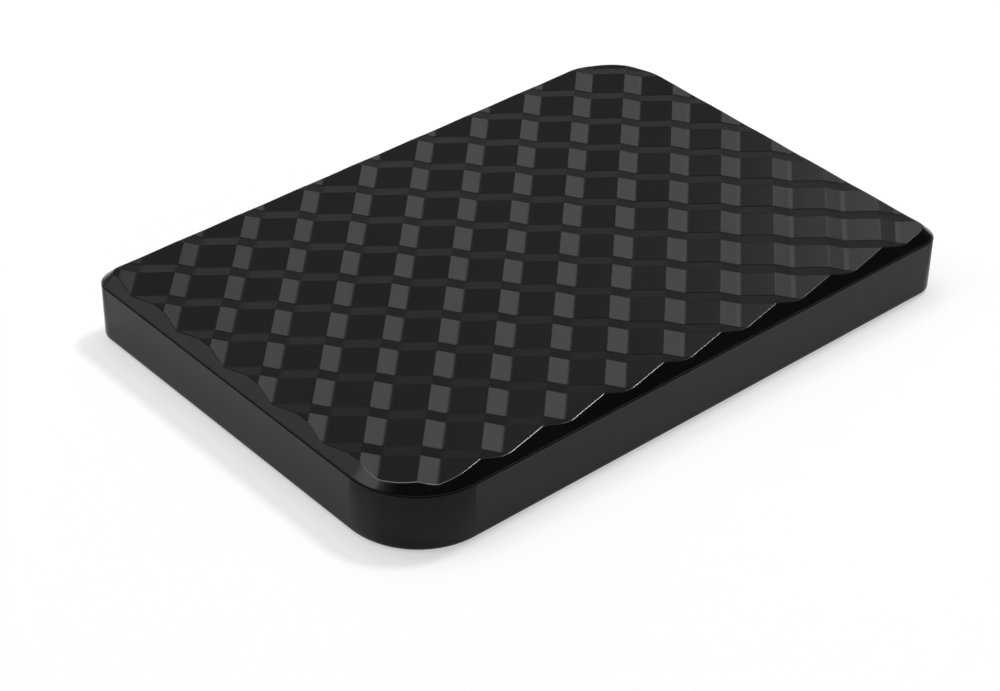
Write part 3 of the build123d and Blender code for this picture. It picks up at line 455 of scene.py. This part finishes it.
# %% [markdown]
# ## Broken edges
#
# No moulded or stamped edge is a knife, and a thin bright line along it says so. The solids have
# sharp edges, and their meshes stay as they are, so a bevel modifier breaks the edges of the pieces
# that show from outside. The solids arrive with a point for each face corner, so a weld modifier
# joins those first.

# %% Broken edges on the outside
weld_reach = 0.002 * MM
sharp_angle = math.radians(40)


def break_edges(node, width):
    """Small rounded bevel on the sharp edges of a solid, without touching its mesh."""
    piece = nodes[node]
    weld = piece.modifiers.new("weld", "WELD")
    weld.merge_threshold = weld_reach
    bevel = piece.modifiers.new("broken_edges", "BEVEL")
    bevel.width = width
    bevel.segments = 2
    bevel.limit_method = "ANGLE"
    bevel.angle_limit = sharp_angle
    bevel.harden_normals = True


outside_edges = {"bottom_tray": 0.12 * MM, "usb_shell": 0.04 * MM, "usb_insert": 0.04 * MM}
for node, width in outside_edges.items():
    break_edges(node, width)
print("broken edges on", ", ".join(outside_edges))

# %% [markdown]
# ## Contacts in the socket
#
# The wide micro socket has two bays, each with a plastic tongue that carries five spring contacts on
# its lower side. They are thin strips of plated bronze. An array modifier could repeat one strip, but
# the bays differ in width, so a loop spaces five strips evenly in each.

# %% Socket contacts
insert_low, insert_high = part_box("usb_insert")
tongue_z = (insert_low[2] + insert_high[2]) / 2
bays = ((-5.6 * MM, 0.8 * MM), (2.2 * MM, 5.6 * MM))
contacts_per_bay = 5
strip = Vector((2.6 * MM, 0.3 * MM, 0.06 * MM))
strip_x = insert_high[0] - strip.x / 2 - 0.2 * MM
bm = bmesh.new()
for low_y, high_y in bays:
    for n in range(contacts_per_bay):
        y = low_y + (high_y - low_y) * (n + 0.5) / contacts_per_bay
        middle = Vector((strip_x, y, tongue_z - strip.z / 2))
        bmesh.ops.create_cube(bm, size=1, matrix=Matrix.LocRotScale(middle, None, strip))
contacts = finish_mesh("socket_contacts", bm)
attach(contacts, "case")
print("contacts:", len(contacts.data.polygons) // 6)

# %% [markdown]
# ## Wiring nodes
#
# Materials are networks of nodes. They could be drawn by hand in the shader editor, but a script
# keeps them readable and the same on each run. A few helpers are enough. Each takes plain values and
# outputs of other nodes alike: an output becomes a link, and anything else is set on the socket
# itself.

# %% Helpers for node trees
def plug(tree, socket, value):
    """Link the output of another node to a socket, or set a plain value on it."""
    if isinstance(value, bpy.types.NodeSocket):
        tree.links.new(value, socket)
    else:
        socket.default_value = value


def wire(tree, node, **inputs):
    """Plug values and outputs of other nodes into the sockets of a node, by name."""
    for name, value in inputs.items():
        plug(tree, node.inputs[name.replace("_", " ")], value)


def add(tree, kind, settings=(), **inputs):
    """New node with its settings made and its sockets wired."""
    node = tree.nodes.new("ShaderNode" + kind)
    for setting, value in dict(settings).items():
        setattr(node, setting, value)
    wire(tree, node, **inputs)
    return node


def combine(tree, kind, operation, *values):
    """Output of a math node over one or two values or outputs of other nodes."""
    node = add(tree, kind, {"operation": operation})
    for socket, value in zip(node.inputs, values):
        plug(tree, socket, value)
    return next(output for output in node.outputs if output.enabled)


print("materials of the frame:", len(bpy.data.materials))

# %% [markdown]
# ## Patterns that several finishes share
#
# Real surfaces differ in small ways: grain from the mould, streaks from rolling, rings from a lathe.
# Each could be built again in every material. As a node group it is built once, with named sockets,
# and every material that needs it has its own numbers. The groups give only values that change over
# the surface: a height for fine relief and a patch value for slow differences. They work in the
# coordinates of the piece, so the pattern stays on it when it moves.

# %% Empty pattern groups
pattern_outputs = ("Height", "Patch")
noise_range = (0.3, 0.7)


def new_pattern(name, **inputs):
    """Node group with named inputs and the outputs of a pattern, the place on the piece, and its inputs."""
    group = bpy.data.node_groups.new(name, "ShaderNodeTree")
    for label, value in inputs.items():
        kind = "NodeSocketFloat" if isinstance(value, float) else "NodeSocketVector"
        group.interface.new_socket(label, in_out="INPUT", socket_type=kind).default_value = value
    for label in pattern_outputs:
        group.interface.new_socket(label, in_out="OUTPUT", socket_type="NodeSocketFloat")
    place = add(group, "TexCoord").outputs["Object"]
    return group, place, group.nodes.new("NodeGroupInput").outputs


def put_out(group, fine, slow):
    """Connect the two noises of a pattern to its outputs, the slow one spread over its full range."""
    results = group.nodes.new("NodeGroupOutput")
    low, high = noise_range
    patch = add(group, "MapRange", Value=slow.outputs["Fac"], From_Min=low, From_Max=high)
    wire(group, results, Height=fine.outputs["Fac"], Patch=patch.outputs["Result"])
    print("pattern", group.name)


print("each pattern puts out", " and ".join(pattern_outputs))

# %% [markdown]
# **Mould grain**: resin, rubber and cast metal carry the fine bumps of the mould, and slow patches
# where the surface is a little glossier or paler. Two noises of different scale give both. The scale
# is in bumps per metre, which is easy to check against the part.

# %% Mould grain
grain, place, knobs = new_pattern("mould_grain", Scale=2000.0, Patches=60.0)
fine = add(grain, "TexNoise", Vector=place, Scale=knobs["Scale"], Detail=2.0)
slow = add(grain, "TexNoise", Vector=place, Scale=knobs["Patches"], Detail=3.0)
put_out(grain, fine, slow)

# %% [markdown]
# **Streaks**: rolled sheet, ground rods and stacked laminations all show lines in one direction. A
# wave texture would repeat too evenly, so a noise is stretched instead. The stretch says how many
# times per metre it changes along each axis, so a small number along X draws lines along X.

# %% Streaks
streaks, place, knobs = new_pattern("streaks", Stretch=(40.0, 6000.0, 6000.0))
stretched = combine(streaks, "VectorMath", "MULTIPLY", place, knobs["Stretch"])
fine = add(streaks, "TexNoise", Vector=stretched, Scale=1.0, Detail=3.0)
slow = add(streaks, "TexNoise", Vector=stretched, Scale=0.12, Detail=2.0)
put_out(streaks, fine, slow)

# %% [markdown]
# **Turned rings**: a lathe leaves fine circles around its axis. The distance from the axis drives a
# noise of one dimension, which makes rings of uneven width, as a tool does. A ring texture would make
# them all alike.

# %% Turned rings
one_dimension = {"noise_dimensions": "1D"}
turned, place, knobs = new_pattern("turned_rings", Axis=(0.0, 0.0, 0.0), Rings=3000.0)
offset = combine(turned, "VectorMath", "SUBTRACT", place, knobs["Axis"])
flat = combine(turned, "VectorMath", "MULTIPLY", offset, (1, 1, 0))
radius = combine(turned, "VectorMath", "LENGTH", flat)
count = combine(turned, "Math", "MULTIPLY", radius, knobs["Rings"])
fine = add(turned, "TexNoise", one_dimension, W=count, Scale=1.0, Detail=2.0)
slow = add(turned, "TexNoise", one_dimension, W=count, Scale=0.08, Detail=2.0)
put_out(turned, fine, slow)

# %% [markdown]
# ## One recipe for a finish
#
# Most finishes need the same four things from a pattern: a colour between two shades, a roughness
# between two values, a relief of a stated depth, and the constants of the shader, which stay on its
# own sockets. One recipe keeps each finish to a few lines that can be compared. The materials of the
# frame already sit on their solids under the names of the record, so each is emptied and written anew
# in place.

# %% Recipe for a finish
def colour(shade):
    """Colour with its alpha, from a grey value or three channels."""
    channels = shade if isinstance(shade, tuple) else (shade, shade, shade)
    return (*channels, 1)


def blend(tree, factor, first, second):
    """Colour between two colours or sockets."""
    return add(tree, "Mix", {"data_type": "RGBA"}, Factor=factor, A=first, B=second).outputs["Result"]


def fresh_tree(name, **constants):
    """Emptied node tree of a material, with a new shader in it."""
    material = bpy.data.materials.get(name) or bpy.data.materials.new(name)
    material.use_nodes = True
    tree = material.node_tree
    tree.nodes.clear()
    shader = add(tree, "BsdfPrincipled", **constants)
    add(tree, "OutputMaterial", Surface=shader.outputs["BSDF"])
    return tree, shader


def finish(name, pattern, numbers, shades, rough, depth, **constants):
    """Material whose colour, roughness and relief follow one pattern, with the depth in millimetres."""
    tree, shader = fresh_tree(name, **constants)
    values = add(tree, "Group", {"node_tree": pattern}, **numbers).outputs
    gloss = add(tree, "MapRange", Value=values["Patch"], To_Min=rough[0], To_Max=rough[1])
    relief = add(tree, "Bump", Height=values["Height"], Distance=depth * MM)
    wire(
        tree,
        shader,
        Base_Color=blend(tree, values["Patch"], colour(shades[0]), colour(shades[1])),
        Roughness=gloss.outputs["Result"],
        Normal=relief.outputs["Normal"],
    )
    print("finish", name)


print("a dark grey is written as", colour(0.02))

# %% [markdown]
# ## The case
#
# Tray and lid are moulded from one black resin. The lid's mould is polished, so its facets mirror the
# studio softly. The tray's is satin, so its walls give back less of the white table. The colour
# itself is almost nothing: what shows is the reflection, with faint cloudy differences in gloss. So
# the base is nearly black, the roughness is low and the grain is too fine to see as bumps. A lighter
# base would look like grey rubber in any light.

# %% Black case plastic
finish(
    "case_black",
    grain,
    {"Scale": 4200.0, "Patches": 45.0},
    shades=(0.0026, 0.0038),
    rough=(0.23, 0.27),
    depth=0.0008,
    Specular_IOR_Level=0.17,
)
finish(
    "lid_black",
    grain,
    {"Scale": 5200.0, "Patches": 45.0},
    shades=(0.0026, 0.0038),
    rough=(0.195, 0.215),
    depth=0.0005,
    IOR=1.5,
)
lid.data.materials.append(bpy.data.materials["lid_black"])

# %% [markdown]
# ## Rubber, foam and felt
#
# The bumpers and stops are moulded rubber, the gasket is a dispensed bead, and a foam sheet lies
# between casting and board. The two filters are felt. All are matte, so they get coarse grain and
# high roughness. Felt could be a mass of hairs, but at this size streaks that change quickly in every
# direction give its fibres.

# %% Soft materials
finish("bumper_rubber", grain, {"Scale": 2600.0}, shades=(0.022, 0.036), rough=(0.7, 0.86), depth=0.01)
finish("gasket_rubber", grain, {"Scale": 3500.0}, shades=(0.035, 0.06), rough=(0.6, 0.8), depth=0.01)
finish("insulator_foam", grain, {"Scale": 1800.0}, shades=(0.05, 0.1), rough=(0.85, 0.95), depth=0.05)
finish(
    "filter_cloth",
    streaks,
    {"Stretch": (3000.0, 900.0, 3000.0)},
    shades=((0.7, 0.7, 0.67), (0.84, 0.84, 0.81)),
    rough=(0.85, 0.95),
    depth=0.06,
    Sheen_Weight=0.3,
)

# %% [markdown]
# ## Moulded and lapped small parts
#
# Chips are filled epoxy, dull and slightly sandy. The connectors and the core of the socket are black
# nylon. The sliders that carry the heads are a hard lapped ceramic. All are dark, and what tells them
# apart is how rough they are, so they share the grain and differ in its numbers.

# %% Dark small parts
finish("chip_resin", grain, {"Scale": 6000.0}, shades=(0.014, 0.026), rough=(0.5, 0.66), depth=0.004)
finish("connector_black", grain, {"Scale": 4200.0}, shades=(0.012, 0.022), rough=(0.38, 0.52), depth=0.003)
finish("head_ceramic", grain, {"Scale": 9000.0}, shades=(0.045, 0.075), rough=(0.12, 0.22), depth=0.0005)

# %% [markdown]
# The load ramp is a pale slippery resin, the indicator is cast in a milky one, and the light pipe is
# clear. Only the pipe lets light through, by the transmission of its shader. For the milky indicator
# a pale colour is enough.

# %% Pale and clear small parts
pale_ramp = ((0.7, 0.68, 0.62), (0.78, 0.76, 0.71))
milky = ((0.8, 0.8, 0.7), (0.88, 0.88, 0.8))
finish("ramp_plastic", grain, {"Scale": 3000.0}, shades=pale_ramp, rough=(0.3, 0.42), depth=0.002)
finish("led_resin", grain, {"Scale": 3000.0}, shades=milky, rough=(0.2, 0.35), depth=0.002)
finish(
    "clear_plastic",
    grain,
    {"Scale": 2500.0, "Patches": 200.0},
    shades=((0.8, 0.84, 0.87), (0.9, 0.92, 0.94)),
    rough=(0.05, 0.14),
    depth=0.001,
    Transmission_Weight=0.8,
    IOR=1.49,
)

# %% [markdown]
# ## Sheet metal and ground steel
#
# Sheet is rolled, so its streaks run one way. Rods are ground round, so theirs run around them, which
# means that they change along Z. The motor core and the yokes are stacks of punched sheet, with lines
# between the layers. An anisotropic shader would also draw such lines, but only as a highlight.
# Streaks in the roughness show on every side. Each line below gives the changes per metre along X, Y
# and Z, two greys, two roughnesses and the depth of the lines.

# %% Rolled and ground metal
def streaked_metal(name, stretch, shades, rough, depth):
    """Metal with lines in one direction."""
    finish(name, streaks, {"Stretch": stretch}, shades, rough, depth, Metallic=1.0)


streaked_metal("cover_steel", (30.0, 5000.0, 5000.0), (0.52, 0.66), (0.26, 0.38), 0.0015)
streaked_metal("socket_steel", (200.0, 7000.0, 7000.0), (0.52, 0.66), (0.2, 0.32), 0.001)
streaked_metal("crystal_steel", (8000.0, 300.0, 8000.0), (0.56, 0.68), (0.16, 0.28), 0.001)
streaked_metal("spring_steel", (9000.0, 300.0, 9000.0), (0.5, 0.64), (0.2, 0.34), 0.001)
streaked_metal("bearing_steel", (60.0, 60.0, 9000.0), (0.56, 0.7), (0.14, 0.26), 0.001)
streaked_metal("lamination_steel", (200.0, 200.0, 5000.0), (0.36, 0.5), (0.3, 0.44), 0.004)

# %% [markdown]
# ## Cast and plated metal
#
# The casting is rough from its die, screws are tumbled, and the magnets are plated with nickel,
# slightly warm. None of these has a direction, so they take the grain, with patches as large as the
# stains that handling leaves. Each line below gives bumps and patches per metre, two shades, two
# roughnesses and the depth of the bumps.

# %% Grainy metal
def grainy_metal(name, scale, patches, shades, rough, depth):
    """Metal with a fine even grain."""
    finish(name, grain, {"Scale": scale, "Patches": patches}, shades, rough, depth, Metallic=1.0)


nickel = ((0.62, 0.6, 0.56), (0.72, 0.7, 0.66))
die_cast = ((0.56, 0.57, 0.58), (0.63, 0.64, 0.65))
grainy_metal("screw_steel", 5000.0, 500.0, (0.4, 0.56), (0.22, 0.4), 0.002)
grainy_metal("magnet_nickel", 2500.0, 300.0, nickel, (0.14, 0.26), 0.002)
grainy_metal("cast_aluminium", 2400.0, 220.0, die_cast, (0.44, 0.54), 0.012)

# %% [markdown]
# ## Discs and hub
#
# The discs are polished and coated until they are mirrors, and only the faintest rings are left. Hub
# and spacer are turned from aluminium around the same axis, with rings that can be seen. The axis is
# read from the hub, so that the rings stay centred.

# %% Turned metal
hub_low, hub_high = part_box("spindle_hub")
hub_axis = ((hub_low[0] + hub_high[0]) / 2, (hub_low[1] + hub_high[1]) / 2, 0)
print("hub at", round(hub_axis[0] / MM, 2), round(hub_axis[1] / MM, 2), "mm")


def turned_metal(name, rings, shades, rough, depth):
    """Metal with rings around the hub."""
    finish(name, turned, {"Axis": hub_axis, "Rings": rings}, shades, rough, depth, Metallic=1.0)


turned_metal("disc_mirror", 2200.0, (0.7, 0.78), (0.03, 0.06), 0.0001)
turned_metal("hub_aluminium", 5000.0, (0.62, 0.76), (0.22, 0.34), 0.002)

# %% [markdown]
# ## Windings
#
# Both coils are enamelled copper wire. The turns could be modelled one by one, but they are thinner
# than a hair. Seen from outside, a winding is a stack of fine parallel lines with a warm lacquer over
# them, so streaks across Z give the wires and a coat gives the lacquer.

# %% Copper wire
finish(
    "winding_copper",
    streaks,
    {"Stretch": (500.0, 500.0, 9000.0)},
    shades=((0.4, 0.15, 0.06), (0.66, 0.3, 0.13)),
    rough=(0.26, 0.42),
    depth=0.02,
    Metallic=1.0,
    Coat_Weight=0.4,
    Coat_Roughness=0.2,
)

# %% [markdown]
# ## Circuit boards
#
# Both boards are green laminate. Copper tracks run under the solder mask and show as paler green
# lines, and here and there a via shows as a dot of bare metal. A drawing of tracks would need an
# image. Two cell patterns do without: the borders of cells measured in city blocks bend at right
# angles as tracks do, and the middles of small cells are the vias.

# %% Laminate
mask_green = ((0.008, 0.075, 0.036), (0.02, 0.14, 0.065))
via_gold = (0.75, 0.56, 0.22)
tree, shader = fresh_tree("bridge_laminate")
place = add(tree, "TexCoord").outputs["Object"]
blocks = {"distance": "MANHATTAN", "feature": "F2"}
tracks = add(tree, "TexVoronoi", blocks, Vector=place, Scale=420.0).outputs["Distance"]
dots = add(tree, "TexVoronoi", Vector=place, Scale=300.0, Randomness=0.7).outputs["Distance"]
lines = add(tree, "MapRange", Value=tracks, From_Min=0.55, From_Max=0.6).outputs["Result"]
vias = add(tree, "MapRange", Value=dots, From_Min=0.12, From_Max=0.1).outputs["Result"]
mask = blend(tree, lines, colour(mask_green[0]), colour(mask_green[1]))
patch = add(tree, "Group", {"node_tree": grain}, Scale=3000.0).outputs["Patch"]
wire(
    tree,
    shader,
    Base_Color=blend(tree, vias, mask, colour(via_gold)),
    Metallic=vias,
    Roughness=add(tree, "MapRange", Value=patch, To_Min=0.26, To_Max=0.4).outputs["Result"],
    Normal=add(tree, "Bump", Height=lines, Distance=0.03 * MM).outputs["Normal"],
)
print("finish bridge_laminate,", len(tree.nodes), "nodes")

# %% [markdown]
# ## Gold on the contacts
#
# The contacts are plated thinly with gold, and the rolling lines of the strip show through it. They
# run along the contact, so the same streaks as on the sheet metal serve, in a warmer pair of shades.

# %% Contact gold
plated = ((0.62, 0.42, 0.14), (0.78, 0.56, 0.22))
streaked_metal("contact_gold", (300.0, 9000.0, 9000.0), plated, (0.2, 0.34), 0.001)
contacts.data.materials.append(bpy.data.materials["contact_gold"])
print(len(bpy.data.materials), "materials")

# %% [markdown]
# ## Floor
#
# The drive lies on a wide white sheet. Enough lamps would make any sheet white, but they would also
# bleach the object. So one half of its white is a glow for everything that looks at it: the camera,
# the gloss of the plastic and clear parts. The other half is lit, so the sheet keeps the soft shadow
# of the case and the walls mirror that shadow.

# %% Floor
glow_share = 0.5
reach = 6.0
floor_mesh = bpy.data.meshes.new("floor")
corners = [(-reach, -reach, 0), (reach, -reach, 0), (reach, reach, 0), (-reach, reach, 0)]
floor_mesh.from_pydata(corners, [], [(0, 1, 2, 3)])
floor = bpy.data.objects.new("floor", floor_mesh)
bpy.context.scene.collection.objects.link(floor)
pale = bpy.data.materials.new("pale_floor")
pale.use_nodes = True
floor_mesh.materials.append(pale)
tree = pale.node_tree
tree.nodes.clear()
ray = add(tree, "LightPath").outputs
seen = combine(tree, "Math", "MAXIMUM", ray["Is Camera Ray"], ray["Is Glossy Ray"])
seen = combine(tree, "Math", "MAXIMUM", seen, ray["Is Transmission Ray"])
paper = add(tree, "MixShader", Fac=combine(tree, "Math", "MULTIPLY", seen, glow_share))
lit = add(tree, "BsdfDiffuse", Color=colour(1.0))
glow = add(tree, "Emission", Color=colour(1.0), Strength=1.0)
tree.links.new(lit.outputs["BSDF"], paper.inputs[1])
tree.links.new(glow.outputs["Emission"], paper.inputs[2])
add(tree, "OutputMaterial", Surface=paper.outputs["Shader"])
print("floor", 2 * reach, "m wide, glowing by", glow_share)

# %% [markdown]
# ## Room
#
# The room is dark above, with a low grey screen around the table that is brightest behind it on the
# left. The narrow strips between the facets face away from the viewer and mirror that screen. An
# image of a studio could stand here. Two ramps do the same with a few numbers: one fades the screen
# with height, one with direction.

# %% Room
screen_grey, dark_grey = 0.23, 0.01
screen_top, screen_gone = 0.24, 0.5
brightest_way = (-0.4, 0.9, 0)
dim_side, bright_side = 0.3, 1.27
world = bpy.data.worlds.new("studio")
bpy.context.scene.world = world
world.use_nodes = True
tree = world.node_tree
way = add(tree, "TexCoord").outputs["Generated"]
height = add(tree, "SeparateXYZ", Vector=way).outputs["Z"]
towards = combine(tree, "VectorMath", "DOT_PRODUCT", way, brightest_way)


def fade(value, start, end, first, last):
    """Value that goes from the first to the last number between two places."""
    node = add(tree, "MapRange", Value=value, From_Min=start, From_Max=end, To_Min=first, To_Max=last)
    return node.outputs["Result"]


screen = fade(height, screen_top, screen_gone, screen_grey, dark_grey)
side = fade(towards, -0.1, 0.65, dim_side, bright_side)
wire(tree, tree.nodes["Background"], Color=screen, Strength=side)
print("the screen ends", round(math.degrees(math.asin(screen_gone))), "degrees above the table")

# %% [markdown]
# ## Lamps
#
# A black glossy object is drawn by what it mirrors, so moving a lamp about until it looks right takes
# long. Here each lamp is described by the window of directions that it fills, as seen from the case:
# degrees to the right of the far direction, and degrees above the floor. The direction that a facet
# mirrors is easy to work out, and the radiance then says directly how bright a mirror would look
# there.

# %% Softbox
away = math.radians(48.4)
lamp_distance = 2.0


def softbox(name, right, up, radiance):
    """Area lamp that fills a window of directions, right of the view's far direction and above the floor."""
    turn = away - math.radians(sum(right) / 2)
    lift = math.radians(sum(up) / 2)
    way = Vector((math.cos(turn) * math.cos(lift), math.sin(turn) * math.cos(lift), math.sin(lift)))
    lamp = bpy.data.lights.new(name, "AREA")
    lamp.shape = "RECTANGLE"
    lamp.size = 2 * lamp_distance * math.tan(math.radians(right[1] - right[0]) / 2) * math.cos(lift)
    lamp.size_y = 2 * lamp_distance * math.tan(math.radians(up[1] - up[0]) / 2)
    lamp.energy = radiance * math.pi * lamp.size * lamp.size_y
    piece = bpy.data.objects.new(name, lamp)
    piece.location = way * lamp_distance
    piece.rotation_mode = "QUATERNION"
    piece.rotation_quaternion = way.to_track_quat("Z", "Y")
    bpy.context.scene.collection.objects.link(piece)
    print(name, round(lamp.size, 2), "x", round(lamp.size_y, 2), "m,", round(lamp.energy, 1), "W")


print("the far direction is", round(math.degrees(away), 1), "degrees from X")

# %% [markdown]
# The bright facets mirror the lamp at the back on the right, and the dark ones a dim one beside it.
# The band mirrors two lamps on the left, along the left side and at the start of the near corner. A
# slim strong lamp high on the right shows only in the rounded rim of the dark facets, as thin bright
# lines. The ceiling lights the floor. Two low lamps, in front and on the right, show only from
# behind, where the facets would otherwise have nothing to mirror. One large dome would be simpler,
# but it would fill all facets with the same grey.

# %% Lamps
softbox("back_right", (-0.5, 30), (34, 76), 1.15)
softbox("back_left", (-38, 1), (26, 66), 0.18)
softbox("ceiling", (-118, 0), (63, 97), 4.2)
softbox("edge_strip", (38, 58), (60, 68), 60.0)
softbox("left_side", (-124, -89), (32, 58), 1.65)
softbox("left_back", (-89, -64), (24, 50), 0.75)
softbox("front_low", (122, 208), (8, 26), 0.6)
softbox("right_low", (72, 116), (6, 20), 0.6)
print(len(bpy.data.lights), "lamps")

# %% [markdown]
# ## Camera
#
# The view is that of a product picture: a long lens, 36 degrees above the table, on the near round
# corner. Place, aim and roll were found by fitting the outline of the case to its outline in the
# photograph, which is surer than turning the camera by eye. The Standard view transform shows colours
# as they are written.

# %% Camera
camera = bpy.data.cameras.new("photo_view")
camera.sensor_width = 36
camera.lens = 96.4
view = bpy.data.objects.new("photo_view", camera)
bpy.context.scene.collection.objects.link(view)
view.location = Vector((-250.676, -277.092, 262.777)) * MM
aim = Vector((-5.86, -0.886, -4.42)) * MM
roll = Quaternion((0, 0, 1), math.radians(0.986))
view.rotation_mode = "QUATERNION"
view.rotation_quaternion = (aim - view.location).to_track_quat("-Z", "Y") @ roll
bpy.context.scene.camera = view
bpy.context.scene.view_settings.view_transform = "Standard"
print("camera", round((aim - view.location).length, 3), "m from the case")
